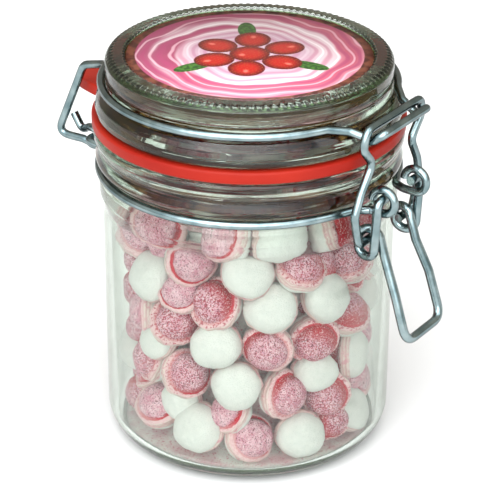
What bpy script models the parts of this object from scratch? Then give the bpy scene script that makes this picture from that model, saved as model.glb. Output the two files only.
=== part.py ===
"""Clip-top glass jar filled with round yogurt candies, shut, standing on its base.

The jar's axis is Z and its base rests on z = 0. The clasp faces -Y and the lid's hinge is at +Y.
Sizes are in millimetres and are turned into metres where points are made.
"""

import math

import bmesh
import bpy
import numpy as np
from mathutils import Vector

MM = 0.001
GAP = 0.3                      # left between pieces that touch

# Jar
BODY_R = 40.0
BODY_TOP = 66.0
CORNER_R = 8.0                 # rounded edge of the base
INNER_CORNER_R = 5.0
WALL = 2.6
FLOOR = 2.4
FLOOR_RISE = 0.5               # the inside of the base is slightly domed
MOUTH_R = 34.4                 # inner radius of the neck
NECK_START = 71.0              # where the inside begins to narrow
NECK_END = 80.0
LIP_TOP = 92.0
TURN_STEPS = 36

# Rubber ring
GASKET_R = 42.5
GASKET_BORE = 34.9
GASKET_LOW = LIP_TOP + GAP
GASKET_THICK = 3.4
TAB_TIP = 53.6                 # distance of the pull tab's tip from the axis
TAB_ROOT_HALF = 12.4
TAB_TIP_HALF = 8.9

# Lid
LID_LOW = GASKET_LOW + GASKET_THICK + GAP
LID_FLANGE_R = 41.5
LID_TOP_R = 38.65
LID_TOP = 112.0
COLLAR_R = 33.7                # ring under the lid that centres it in the mouth
COLLAR_LOW = 93.0
PLATE_LOW = 106.6
RECESS_R = 33.3
RECESS_DEPTH = 1.4
LABEL_R = 33.0
LABEL_THICK = 0.3

# Wires
WIRE_D = 2.3
LEVER_D = 2.5
NECK_RING_R = 40.9
NECK_RING_Z = 80.2
LID_RING_R = 39.75
LID_RING_Z = 104.3
RING_STEP = math.radians(10.0)
BEND_R = 2.2                   # usual inner line of a bend in the wires
SLIGHT = math.radians(34.0)

# Clasp, as distance from the jar's axis, half width across, and height
EYE_OUT = 47.7
EYE_Z = 83.8
EYE_R = 3.3
EYE_HALF = 8.0
PIVOT_OUT = 47.6               # the lever turns about this line
PIVOT_Z = 84.4
FOOT_OUT = 43.9                # the link turns in the lever's loops about this line
FOOT_Z = 72.3
LOOP_OUT = 44.05
LOOP_R = 2.85
LOOP_LOW = 70.8
LOOP_HIGH = 72.4
LOOP_HALF = 10.7
HANDLE_HALF = 7.7               # at the loops
HANDLE_END_HALF = 9.0           # at the end, where the arms have spread
HANDLE_BEND_R = 4.0
HANDLE_OUT = 56.8
HANDLE_Z = 45.5
CATCH_OUT = 48.9
CATCH_Z = 104.0
CATCH_HALF = 11.3
LINK_TOP_OUT = 45.3
LINK_TOP_Z = 105.0
LINK_TOP_HALF = 13.4

# Hinge
HINGE_OUT = 43.9
HINGE_Z = 80.5
COIL_R = 2.55
COIL_HALF = 12.6
PIN_HALF = 15.5
ARM_BEND_R = 3.6

# Candies
CANDY_R = 7.2
CANDY_COUNT = 112
CANDY_SPREAD = 0.03            # share by which sizes differ
CANDY_SEED = 11
CANDY_HOLD = 0.2               # how firmly a listed candy keeps its place, as a share a round
CANDY_FRONT = -145.5           # angle of the side from which the listed candies are seen
WHITE_SHOWN = (                # turn from that side, height, and depth behind the wall
    (-1, 63.5, 0), (-57, 53.7, 0), (10, 48.9, 0), (43, 50.6, 0), (86, 40.4, 0), (-22, 36, 7),
    (-4, 30.8, 0), (49, 23, 7), (-87, 22, 0), (-24, 12, 0), (64, 10.5, 0))
PINK_SHOWN = (
    (-66, 61.8, 0), (-27, 64.8, 0), (25, 63.4, 0), (58, 57.1, 0), (-17, 49.9, 0), (-46, 44.7, 0),
    (-86, 41.2, 0), (36, 39.8, 0), (62, 39.4, 0), (18, 33.7, 6), (-31, 29.6, 0), (86, 27.4, 0),
    (21, 23.4, 0), (46, 19.9, 0), (-57, 14.4, 0), (3, 10.5, 0), (88, 14, 0))
HEAP_R = BODY_R - WALL - 2 * GAP
HEAP_FLOOR = FLOOR + FLOOR_RISE + GAP
HEAP_TOP = 79.0
CORE_R = 27.5
CORE_LOW = 10.0
CORE_HIGH = 63.0
SHOWING_R = 24.0               # a candy nearer the axis than this is hidden inside the core


# ---------------------------------------------------------------- helpers

def material(name, colour, roughness, metallic=0.0, transmission=0.0):
    """A Principled material with a linear RGB colour."""
    made = bpy.data.materials.new(name)
    made.use_nodes = True
    shader = made.node_tree.nodes["Principled BSDF"]
    shader.inputs["Base Color"].default_value = (*colour, 1.0)
    shader.inputs["Roughness"].default_value = roughness
    shader.inputs["Metallic"].default_value = metallic
    shader.inputs["Transmission Weight"].default_value = transmission
    return made


def add_object(name, data, surface):
    """Link new mesh or curve data into the scene with its material."""
    made = bpy.data.objects.new(name, data)
    data.materials.append(surface)
    bpy.context.scene.collection.objects.link(made)
    return made


def smooth(mesh, angle=35.0):
    mesh.shade_smooth()
    mesh.set_sharp_from_angle(angle=math.radians(angle))


def arc(centre, radius, start, end, steps):
    """Points on an arc in a plane, from angle start to angle end in degrees."""
    points = []
    for i in range(steps + 1):
        angle = math.radians(start + (end - start) * i / steps)
        points.append((centre[0] + radius * math.cos(angle), centre[1] + radius * math.sin(angle)))
    return points


def turned(name, profile, surface, steps=TURN_STEPS):
    """A solid of revolution about Z from an open profile of (radius, height) on the axis at both ends."""
    form = bmesh.new()
    points = [form.verts.new((r * MM, 0.0, z * MM)) for r, z in profile]
    edges = [form.edges.new(pair) for pair in zip(points, points[1:])]
    bmesh.ops.spin(form, geom=points + edges, cent=(0, 0, 0), axis=(0, 0, 1),
                   angle=2 * math.pi, steps=steps, use_merge=True)
    bmesh.ops.remove_doubles(form, verts=form.verts, dist=1e-6)
    bmesh.ops.recalc_face_normals(form, faces=form.faces)
    mesh = bpy.data.meshes.new(name)
    form.to_mesh(mesh)
    form.free()
    smooth(mesh)
    return add_object(name, mesh, surface)


def bend(points, radius, steps=3):
    """Round the corners of a wire's path. A corner that turns by less than SLIGHT stays as it is."""
    points = [Vector(p) for p in points]
    path = [points[0]]
    for before, corner, after in zip(points, points[1:], points[2:]):
        back, ahead = before - corner, after - corner
        turn = math.pi - back.angle(ahead)
        if turn < SLIGHT:
            path.append(corner)
            continue
        reach = min(radius * math.tan(turn / 2), 0.48 * back.length, 0.48 * ahead.length)
        start, end = corner + back.normalized() * reach, corner + ahead.normalized() * reach
        for i in range(steps + 1):
            t = i / steps
            path.append(start * (1 - t) ** 2 + corner * 2 * t * (1 - t) + end * t ** 2)
    path.append(points[-1])
    return path


def mirrored(half):
    """The whole path of a wire from the half at +X that starts in the middle plane."""
    left = [Vector((-p[0], p[1], p[2])) for p in reversed(half[1:])]
    return left + [Vector(p) for p in half]


def front(out, across, height):
    """A point of the clasp, by its distance out from the axis, across, and height."""
    return Vector((across, -out, height))


def back(out, across, height):
    """A point of the hinge, in the same terms."""
    return Vector((across, out, height))


def ring(radius, height, start, end):
    """Points on a horizontal ring between two angles in radians, counted from +X."""
    count = max(1, round(abs(end - start) / RING_STEP))
    angles = [start + (end - start) * i / count for i in range(count + 1)]
    return [Vector((radius * math.cos(a), radius * math.sin(a), height)) for a in angles]


def wire(name, path, diameter, surface, origin=(0.0, 0.0, 0.0), sides=8):
    """A round wire with cut ends, along a path in millimetres, with its origin where it turns."""
    curve = bpy.data.curves.new(name, "CURVE")
    curve.dimensions = "3D"
    curve.bevel_depth = diameter / 2 * MM
    curve.bevel_resolution = sides // 2 - 2
    curve.use_fill_caps = True
    spline = curve.splines.new("POLY")
    spline.points.add(len(path) - 1)
    for point, place in zip(spline.points, path):
        point.co = (*((place - Vector(origin)) * MM), 1.0)
    made = add_object(name, curve, surface)
    made.location = Vector(origin) * MM
    return made


# ---------------------------------------------------------------- glass and rubber

def make_jar(surface):
    """Thick base, straight wall, two beads with the neck wire's groove between, and the lip."""
    inner_r = BODY_R - WALL
    outside = [(0.0, 0.0)]
    outside += arc((BODY_R - CORNER_R, CORNER_R), CORNER_R, -90, 0, 6)
    outside += [(BODY_R, BODY_TOP), (BODY_R - 0.2, 69.8)]
    outside += [(40.9, 73.4), (41.0, 77.2), (40.4, 78.4)]
    outside += [(NECK_RING_R - WIRE_D / 2 - GAP, 79.2), (NECK_RING_R - WIRE_D / 2 - GAP, 81.4)]
    outside += [(41.6, 82.4), (41.8, 83.8), (40.7, 86.4)]
    outside += [(42.2, 89.6), (42.2, 91.2), (41.5, LIP_TOP)]
    inside = [(MOUTH_R + 0.8, LIP_TOP), (MOUTH_R, LIP_TOP - 1.0), (MOUTH_R, NECK_END)]
    inside += [(inner_r - 0.5, NECK_START + 1.6), (inner_r, NECK_START - 3.0)]
    inside += arc((inner_r - INNER_CORNER_R, FLOOR + INNER_CORNER_R), INNER_CORNER_R, 0, -90, 5)
    inside += [(0.0, FLOOR + FLOOR_RISE)]
    return turned("jar", outside + inside, surface)


def make_lid(surface):
    """Flange on the rubber ring, groove for the lid wire, plain band, and a recess on top."""
    groove_r = LID_RING_R - WIRE_D / 2 - GAP
    outside = [(0.0, LID_TOP - RECESS_DEPTH), (RECESS_R, LID_TOP - RECESS_DEPTH)]
    outside += [(RECESS_R + 0.2, LID_TOP), (36.3, LID_TOP), (38.0, 111.2)]
    outside += [(LID_TOP_R, 110.2), (LID_TOP_R, 106.2)]
    outside += [(groove_r, 105.6), (groove_r, 102.8), (39.6, 102.4)]
    outside += [(41.0, 100.4), (LID_FLANGE_R, 98.4), (LID_FLANGE_R, LID_LOW + 0.8)]
    outside += [(LID_FLANGE_R - 0.6, LID_LOW), (COLLAR_R + 0.4, LID_LOW)]
    inside = [(COLLAR_R, LID_LOW - 0.6), (COLLAR_R - 0.4, COLLAR_LOW + 0.3), (COLLAR_R - 1.2, COLLAR_LOW)]
    inside += [(COLLAR_R - 2.4, COLLAR_LOW + 0.8), (COLLAR_R - 2.8, PLATE_LOW - 2.4)]
    inside += [(COLLAR_R - 5.0, PLATE_LOW - 0.2), (0.0, PLATE_LOW)]
    return turned("lid", outside + inside, surface)


def gasket_edge(angle):
    """Outer radius of the rubber ring at an angle from the middle of its tab."""
    if abs(angle) > math.atan2(TAB_ROOT_HALF, GASKET_R - 1.5):
        return GASKET_R
    # The tab's side is the line across = root_half - slope * (out - root_out)
    root_out = math.sqrt(GASKET_R ** 2 - TAB_ROOT_HALF ** 2)
    slope = (TAB_ROOT_HALF - TAB_TIP_HALF) / (TAB_TIP - root_out)
    side = (TAB_ROOT_HALF + slope * root_out) / (math.sin(abs(angle)) + slope * math.cos(angle))
    tip = TAB_TIP / math.cos(angle)
    sharpness = 24.0           # rounds the tab's two corners
    rounded = (side ** -sharpness + tip ** -sharpness) ** (-1 / sharpness)
    return max(GASKET_R, rounded)


def make_gasket(surface):
    """Flat rubber ring with its pull tab between the hinge's arms."""
    fine = [math.radians(a) for a in range(-18, 19, 3)]
    coarse = [math.radians(18 + 9 * i) for i in range(1, 36)]
    loops = []
    for radius, z in (("bore", GASKET_LOW), ("edge", GASKET_LOW),
                      ("edge", GASKET_LOW + GASKET_THICK), ("bore", GASKET_LOW + GASKET_THICK)):
        loop = []
        for angle in fine + coarse:
            r = GASKET_BORE if radius == "bore" else gasket_edge(math.remainder(angle, 2 * math.pi))
            loop.append((r * math.sin(angle) * MM, r * math.cos(angle) * MM, z * MM))
        loops.append(loop)
    form = bmesh.new()
    rows = [[form.verts.new(p) for p in loop] for loop in loops]
    count = len(rows[0])
    for low, high in zip(rows, rows[1:] + rows[:1]):
        for i in range(count):
            j = (i + 1) % count
            form.faces.new((low[i], low[j], high[j], high[i]))
    bmesh.ops.recalc_face_normals(form, faces=form.faces)
    mesh = bpy.data.meshes.new("gasket")
    form.to_mesh(mesh)
    form.free()
    smooth(mesh)
    return add_object("gasket", mesh, surface)


def make_label(surface):
    """Thin printed disc in the lid's recess."""
    low = LID_TOP - RECESS_DEPTH + GAP
    high = low + LABEL_THICK
    profile = [(0.0, low), (LABEL_R, low), (LABEL_R, high), (0.0, high)]
    return turned("label", profile, surface)


# ---------------------------------------------------------------- wires

def make_neck_wire(surface):
    """Wire round the neck: an eye at each front end, and a straight bar for the hinge at the back."""
    bar = [back(HINGE_OUT, 0, HINGE_Z), back(HINGE_OUT, PIN_HALF, HINGE_Z)]
    bar += [back(38.3, PIN_HALF + 0.6, NECK_RING_Z)]
    leave = math.acos(19.0 / NECK_RING_R)
    around = ring(NECK_RING_R, NECK_RING_Z, leave, -math.acos(15.5 / NECK_RING_R))
    lead = [front(40.7, 10.0, 80.3), front(44.0, EYE_HALF + 0.2, EYE_Z - EYE_R)]
    eye = [front(out, EYE_HALF, z) for out, z in arc((EYE_OUT, EYE_Z), EYE_R, -90, 178, 9)]
    path = mirrored(bend(bar + around + lead + eye, BEND_R))
    return wire("neck_wire", path, WIRE_D, surface, sides=6)


def make_lid_wire(surface):
    """Wire round the lid: the catch in front, and at the back two arms that coil round the hinge bar."""
    catch = [front(CATCH_OUT, 0, CATCH_Z), front(CATCH_OUT, CATCH_HALF, CATCH_Z)]
    catch += [front(45.3, CATCH_HALF, 101.1), front(42.8, CATCH_HALF + 0.6, 102.4)]
    catch += [front(39.9, CATCH_HALF + 1.6, 103.3)]
    around = ring(LID_RING_R, LID_RING_Z, -math.acos(17.5 / LID_RING_R), math.acos(17.0 / LID_RING_R))
    arm = [back(38.8, COIL_HALF + 1.4, LID_RING_Z - 0.5), back(45.9, COIL_HALF + 1.0, 101.9)]
    arm += [back(56.7, COIL_HALF + 0.2, 78.7), back(47.6, COIL_HALF, 78.9)]
    coil = [back(out, COIL_HALF, z) for out, z in arc((HINGE_OUT, HINGE_Z), COIL_R, -50, -260, 7)]
    tail = [back(46.6, COIL_HALF - 1.4, 82.3), back(49.9, COIL_HALF - 2.5, 80.2)]
    tail += [back(52.8, COIL_HALF - 2.5, 84.8)]
    path = mirrored(bend(catch + around, BEND_R) + bend(arm, ARM_BEND_R) + bend(coil + tail, BEND_R))
    return wire("lid_wire", path, WIRE_D, surface, sides=6)


def make_link(surface):
    """Flat wire loop that pulls the catch down: pinched at the lip, with its feet turned inward."""
    half = [front(LINK_TOP_OUT, 0, LINK_TOP_Z), front(LINK_TOP_OUT, LINK_TOP_HALF, LINK_TOP_Z)]
    half += [front(44.9, 14.5, 100.0), front(44.9, 9.5, 94.6), front(44.5, 14.0, 87.6)]
    half += [front(44.1, 16.2, 81.5), front(FOOT_OUT, 14.6, 76.0)]
    half += [front(FOOT_OUT, 13.4, FOOT_Z), front(FOOT_OUT, 6.4, FOOT_Z)]
    origin = front(FOOT_OUT, 0, FOOT_Z)
    return wire("link", mirrored(bend(half, BEND_R)), WIRE_D, surface, origin)


def make_lever(surface):
    """Handle whose two arms loop round the link's feet and then hook into the neck wire's eyes."""
    handle = [front(HANDLE_OUT, 0, HANDLE_Z), front(HANDLE_OUT, HANDLE_END_HALF, HANDLE_Z)]
    handle += [front(52.6, HANDLE_END_HALF - 0.3, 58.5), front(48.8, HANDLE_HALF, 67.0)]
    over = arc((LOOP_OUT, LOOP_HIGH), LOOP_R, 15, 180, 5)
    under = arc((LOOP_OUT, LOOP_LOW), LOOP_R, 180, 360, 5)
    turns = over + under[1:]
    loop = []
    for i, (out, z) in enumerate(turns):
        across = HANDLE_HALF + (LOOP_HALF - HANDLE_HALF) * i / (len(turns) - 1)
        loop.append(front(out, across, z))
    hook = [front(PIVOT_OUT, LOOP_HALF, PIVOT_Z), front(PIVOT_OUT, EYE_HALF - 2.4, PIVOT_Z)]
    origin = front(PIVOT_OUT, 0, PIVOT_Z)
    half = bend(handle, HANDLE_BEND_R) + bend(loop + hook, BEND_R)
    return wire("lever", mirrored(half), LEVER_D, surface, origin)


# ---------------------------------------------------------------- candies

def inner_radius(height):
    """Radius of the room inside the jar at each height."""
    narrow = np.clip((height - NECK_START) / (NECK_END - NECK_START), 0.0, 1.0)
    return HEAP_R - narrow * (HEAP_R - MOUTH_R + GAP)


def settled_candies():
    """Centres and radii of the candies, dropped at random and pushed apart until they rest. The
    listed ones come first, and are held near their places."""
    draw = np.random.default_rng(CANDY_SEED)
    radius = CANDY_R * (1 + draw.uniform(-CANDY_SPREAD, CANDY_SPREAD, CANDY_COUNT))
    angle = draw.uniform(0, 2 * math.pi, CANDY_COUNT)
    out = (HEAP_R - CANDY_R) * np.sqrt(draw.uniform(0, 1, CANDY_COUNT))
    height = np.linspace(HEAP_FLOOR + CANDY_R, 1.3 * BODY_TOP, CANDY_COUNT)
    shown = np.array(WHITE_SHOWN + PINK_SHOWN)
    held = len(shown)
    angle[:held] = np.radians(CANDY_FRONT + shown[:, 0])
    height[:held] = shown[:, 1]
    out[:held] = HEAP_R - CANDY_R - shown[:, 2]
    place = np.stack([out * np.cos(angle), out * np.sin(angle), height], axis=1)
    home = place[:held].copy()
    touch = radius[:, None] + radius[None, :]
    rounds = 900
    for step in range(rounds):
        slowing = 1 - step / rounds
        across = np.hypot(place[:, 0], place[:, 1])
        place[held:, 2] -= 0.35 * slowing
        place[held:, :2] *= 1 + 0.1 * slowing / np.maximum(across[held:, None], 10)  # towards the wall
        for _ in range(3):
            place[:held] += CANDY_HOLD * (home - place[:held])
            apart = place[:, None, :] - place[None, :, :]
            distance = np.linalg.norm(apart, axis=2) + np.eye(CANDY_COUNT) * 1e3
            press = np.maximum(touch - distance, 0.0)
            place += 0.28 * np.sum(apart / distance[:, :, None] * press[:, :, None], axis=1)
            place[:, 2] = np.clip(place[:, 2], HEAP_FLOOR + radius, HEAP_TOP - radius)
            across = np.hypot(place[:, 0], place[:, 1])
            room = inner_radius(place[:, 2]) - radius
            place[:, :2] *= np.minimum(1.0, room / np.maximum(across, 1e-6))[:, None]
    return place, radius


def candy_solids():
    """A coarse ball for each candy that shows at the glass or on top of the heap."""
    group = bpy.data.collections.new("showing candies")
    bpy.context.scene.collection.children.link(group)
    turn = np.random.default_rng(CANDY_SEED + 1)
    for place, radius in zip(*settled_candies()):
        if math.hypot(place[0], place[1]) < SHOWING_R and place[2] < CORE_HIGH - 4:
            continue
        form = bmesh.new()
        bmesh.ops.create_uvsphere(form, u_segments=7, v_segments=5, radius=1.03 * radius * MM)
        mesh = bpy.data.meshes.new("candy")
        form.to_mesh(mesh)
        form.free()
        ball = bpy.data.objects.new("candy", mesh)
        ball.location = Vector(place) * MM
        ball.rotation_euler = turn.uniform(0, 2 * math.pi, 3)
        group.objects.link(ball)
    return group


def islands(form):
    """The separate shells of a mesh, each as a set of faces."""
    left = set(form.faces)
    found = []
    while left:
        shell = set()
        queue = [left.pop()]
        while queue:
            face = queue.pop()
            shell.add(face)
            for edge in face.edges:
                for other in edge.link_faces:
                    if other in left:
                        left.remove(other)
                        queue.append(other)
        found.append(shell)
    return found


def make_candies(surface):
    """The heap: a plain core with the candies that show fused to it."""
    core = [(0.0, CORE_LOW), (CORE_R - 3, CORE_LOW), (CORE_R, CORE_LOW + 3)]
    core += [(CORE_R, CORE_HIGH - 5), (CORE_R - 6, CORE_HIGH), (0.0, CORE_HIGH)]
    heap = turned("candies", core, surface, steps=24)
    group = candy_solids()
    union = heap.modifiers.new("fuse", "BOOLEAN")
    union.operation = "UNION"
    union.operand_type = "COLLECTION"
    union.collection = group
    union.solver = "EXACT"
    shape = heap.evaluated_get(bpy.context.evaluated_depsgraph_get())
    fused = bpy.data.meshes.new_from_object(shape)
    heap.modifiers.clear()
    heap.data = fused
    for ball in list(group.objects):
        bpy.data.objects.remove(ball)
    bpy.data.collections.remove(group)
    form = bmesh.new()
    form.from_mesh(fused)
    bmesh.ops.triangulate(form, faces=form.faces)
    bmesh.ops.dissolve_degenerate(form, dist=1e-6, edges=form.edges)
    shells = sorted(islands(form), key=len)
    for shell in shells[:-1]:  # loose scraps and sealed hollows
        bmesh.ops.delete(form, geom=list(shell), context="FACES")
    form.to_mesh(fused)
    form.free()
    fused.materials.clear()
    fused.materials.append(surface)
    return heap


# ---------------------------------------------------------------- the object

for thing in list(bpy.data.objects):
    bpy.data.objects.remove(thing)

glass = material("glass", (0.80, 0.86, 0.83), 0.03, transmission=1.0)
metal = material("zinc wire", (0.62, 0.66, 0.68), 0.22, metallic=1.0)

make_jar(glass)
make_lid(glass)
make_gasket(material("rubber", (0.68, 0.05, 0.03), 0.45))
make_label(material("label", (0.80, 0.36, 0.47), 0.4))
make_neck_wire(metal)
make_lid_wire(metal)
make_link(metal)
make_lever(metal)
make_candies(material("candy", (0.78, 0.45, 0.48), 0.6))
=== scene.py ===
"""Looks of the clip-top jar of yogurt candies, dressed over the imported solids, in metres."""

import math

import bmesh
import bpy
import numpy as np
from mathutils import Matrix, Quaternion, Vector


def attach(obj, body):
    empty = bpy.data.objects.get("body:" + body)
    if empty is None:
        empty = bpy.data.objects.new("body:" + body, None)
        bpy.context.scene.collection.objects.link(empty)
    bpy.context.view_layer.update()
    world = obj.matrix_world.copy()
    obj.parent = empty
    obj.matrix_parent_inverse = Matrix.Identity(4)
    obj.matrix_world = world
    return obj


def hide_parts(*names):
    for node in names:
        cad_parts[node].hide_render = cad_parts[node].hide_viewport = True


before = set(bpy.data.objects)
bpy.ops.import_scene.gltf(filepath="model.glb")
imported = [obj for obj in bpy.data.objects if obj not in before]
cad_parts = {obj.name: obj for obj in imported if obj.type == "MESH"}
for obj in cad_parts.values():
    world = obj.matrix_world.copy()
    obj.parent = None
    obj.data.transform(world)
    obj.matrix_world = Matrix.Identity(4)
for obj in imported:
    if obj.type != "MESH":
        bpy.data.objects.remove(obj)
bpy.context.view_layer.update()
MM = 0.001

# ---------------------------------------------------------------- camera, lights and floor
# A plain white table under a bright soft studio. The camera looks down on the jar with the clasp to
# its right, as fitted to the photograph: its place, turn and lens are worked out from the jar's rings.

TURN = math.radians(-55.5)            # from the photograph's frame to the jar's
CAMERA_AIM = (0.417, 0.0, 52.64)
CAMERA_AWAY = 586.06
CAMERA_DOWN = math.radians(26.84)
CAMERA_ROLL = math.radians(0.355)
CAMERA_LENS = 151.37
WINDOW_SIDE = -0.15                    # the brightest part of the room: left of the camera, and above it
WINDOW_RISE = 0.65
ROOM_LIGHT = 5.0
ROOM_TONES = (                         # how nearly a direction points there, and its tone
    (0.0, "5C5852"), (0.25, "686662"), (0.45, "747470"), (0.65, "858A8E"), (0.82, "C6CACD"),
    (0.94, "FFFFFF"))


def hex_linear(code):
    """A linear colour with full alpha from an sRGB hex value such as D8301C."""
    shares = [int(code[i:i + 2], 16) / 255 for i in (0, 2, 4)]
    return (*(s / 12.92 if s <= 0.04045 else ((s + 0.055) / 1.055) ** 2.4 for s in shares), 1.0)


def add_node(tree, kind, inputs=None, **settings):
    """Adds a node with its settings. A shader's node is named without ShaderNode. An input is given a
    value, a hex colour, the socket that feeds it, or the node whose first socket in use does."""
    made = tree.nodes.new(kind if "Node" in kind else "ShaderNode" + kind)
    for name, value in settings.items():
        setattr(made, name, value)
    for name, value in (inputs or {}).items():
        if isinstance(value, bpy.types.Node):
            value = next(socket for socket in value.outputs if socket.enabled)
        if isinstance(value, bpy.types.NodeSocket):
            tree.links.new(value, made.inputs[name])
        elif made.inputs[name].type == "RGBA":
            made.inputs[name].default_value = hex_linear(value)
        else:
            made.inputs[name].default_value = value
    return made


def new_finish(name, values):
    """A material with plain values for its shader, and its node tree."""
    finish = bpy.data.materials.new(name)
    finish.use_nodes = True
    surface = finish.node_tree.nodes["Principled BSDF"].inputs
    for socket, value in values.items():
        surface[socket].default_value = value
    return finish, finish.node_tree


spin = Matrix.Rotation(TURN, 3, "Z")
backward = Vector((0, -math.cos(CAMERA_DOWN), math.sin(CAMERA_DOWN)))
rightward = Vector((1, 0, 0))
upward = backward.cross(rightward)
tilted_right = math.cos(CAMERA_ROLL) * rightward + math.sin(CAMERA_ROLL) * upward
tilted_up = math.cos(CAMERA_ROLL) * upward - math.sin(CAMERA_ROLL) * rightward
camera_data = bpy.data.cameras.new("camera")
camera_data.lens = CAMERA_LENS
camera_data.sensor_width = 36.0
camera_data.clip_start, camera_data.clip_end = 0.05, 20.0
camera = bpy.data.objects.new("camera", camera_data)
axes = [spin @ v for v in (tilted_right, tilted_up, backward)]
camera.matrix_world = Matrix.Translation(
    spin @ (Vector(CAMERA_AIM) + backward * CAMERA_AWAY) * MM) @ Matrix(axes).transposed().to_4x4()
bpy.context.scene.collection.objects.link(camera)
bpy.context.scene.camera = camera

world = bpy.data.worlds.new("studio")
bpy.context.scene.world = world
world.use_nodes = True
sky = world.node_tree
sky.nodes.clear()
direction = add_node(sky, "TexCoord").outputs["Generated"]
window = spin @ Vector((WINDOW_SIDE, -1.0, WINDOW_RISE)).normalized()
toward = add_node(sky, "VectorMath", {0: direction, 1: window}, operation="DOT_PRODUCT")
room = add_node(sky, "ValToRGB", {"Fac": toward})
steps = room.color_ramp.elements
steps.remove(steps[1])
steps[0].color = hex_linear(ROOM_TONES[0][1])
for place, tone in ROOM_TONES[1:]:
    steps.new(place).color = hex_linear(tone)
glow = add_node(sky, "Background", {"Color": room, "Strength": ROOM_LIGHT})
add_node(sky, "OutputWorld", {"Surface": glow})


def softbox(name, turn, rise, away, wide, tall, power, tone):
    """A rectangular area light aimed at the middle of the jar."""
    data = bpy.data.lights.new(name, "AREA")
    data.shape = "RECTANGLE"
    data.size, data.size_y = wide, tall
    data.energy = power
    data.color = hex_linear(tone)[:3]
    lamp = bpy.data.objects.new(name, data)
    a, e = math.radians(turn) + TURN, math.radians(rise)
    side = Vector((math.sin(a) * math.cos(e), -math.cos(a) * math.cos(e), math.sin(e)))
    lamp.location = side * away + Vector((0, 0, 0.055))
    lamp.rotation_euler = side.to_track_quat("Z", "Y").to_euler()
    bpy.context.scene.collection.objects.link(lamp)


softbox("key", -35, 46, 1.1, 0.45, 0.6, 1.5, "FFFFFF")
softbox("side", 65, 40, 1.1, 0.25, 0.6, 1.0, "F2F7FF")
softbox("overhead", 0, 82, 1.2, 0.9, 0.6, 3.0, "FFFFFF")

floor_mesh = bpy.data.meshes.new("table")
reach = 4.0
floor_mesh.from_pydata([(-reach, -reach, 0), (reach, -reach, 0), (reach, reach, 0), (-reach, reach, 0)],
                       [], [(0, 1, 2, 3)])
table = bpy.data.objects.new("table", floor_mesh)
bpy.context.scene.collection.objects.link(table)
table.location.z = -0.0002
# Matte white, so that the table mirrors nothing and lights the glass from below.
paint = new_finish("white painted table", {"Base Color": hex_linear("E6E6E6"), "Roughness": 0.9})[0]
floor_mesh.materials.append(paint)

bpy.context.scene.view_settings.view_transform = "Standard"
bpy.context.scene.cycles.max_bounces = 24
bpy.context.scene.cycles.transmission_bounces = 24
bpy.context.scene.cycles.use_denoising = True

# ---------------------------------------------------------------- jar
# Pressed soda-lime glass: straight body on a thick rounded base, and a neck with two beads, a groove
# for the wire and a flat lip. Turned from one profile, with the mould's slight waves in its surface.

GAP = 0.3                              # between pieces that touch, as in the solids
BODY_R = 40.0
BODY_TOP = 66.0
CORNER_R = 8.0
INNER_CORNER_R = 5.0
WALL = 2.6
FLOOR = 2.4
FLOOR_RISE = 0.5
MOUTH_R = 34.4
NECK_START = 71.0
NECK_END = 80.0
LIP_TOP = 92.0
WIRE_D = 2.3
NECK_RING_R = 40.9
NECK_RING_Z = 80.2
JAR_STEPS = 240


def arc(centre, radius, start, end, steps):
    """Points on an arc in a plane, from angle start to angle end in degrees."""
    angles = [math.radians(start + (end - start) * i / steps) for i in range(steps + 1)]
    return [(centre[0] + radius * math.cos(a), centre[1] + radius * math.sin(a)) for a in angles]


def bend(points, radius, steps=8, slight=math.radians(20.0)):
    """Rounds the corners of a path. A corner that turns by less than slight stays as it is."""
    points = [Vector(p).to_3d() for p in points]
    path = [points[0]]
    for before, corner, after in zip(points, points[1:], points[2:]):
        back, ahead = before - corner, after - corner
        turn = math.pi - back.angle(ahead)
        if turn < slight:
            path.append(corner)
            continue
        cut = min(radius * math.tan(turn / 2), 0.48 * back.length, 0.48 * ahead.length)
        start, end = corner + back.normalized() * cut, corner + ahead.normalized() * cut
        for i in range(steps + 1):
            t = i / steps
            path.append(start * (1 - t) ** 2 + corner * 2 * t * (1 - t) + end * t ** 2)
    path.append(points[-1])
    return path


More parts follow.
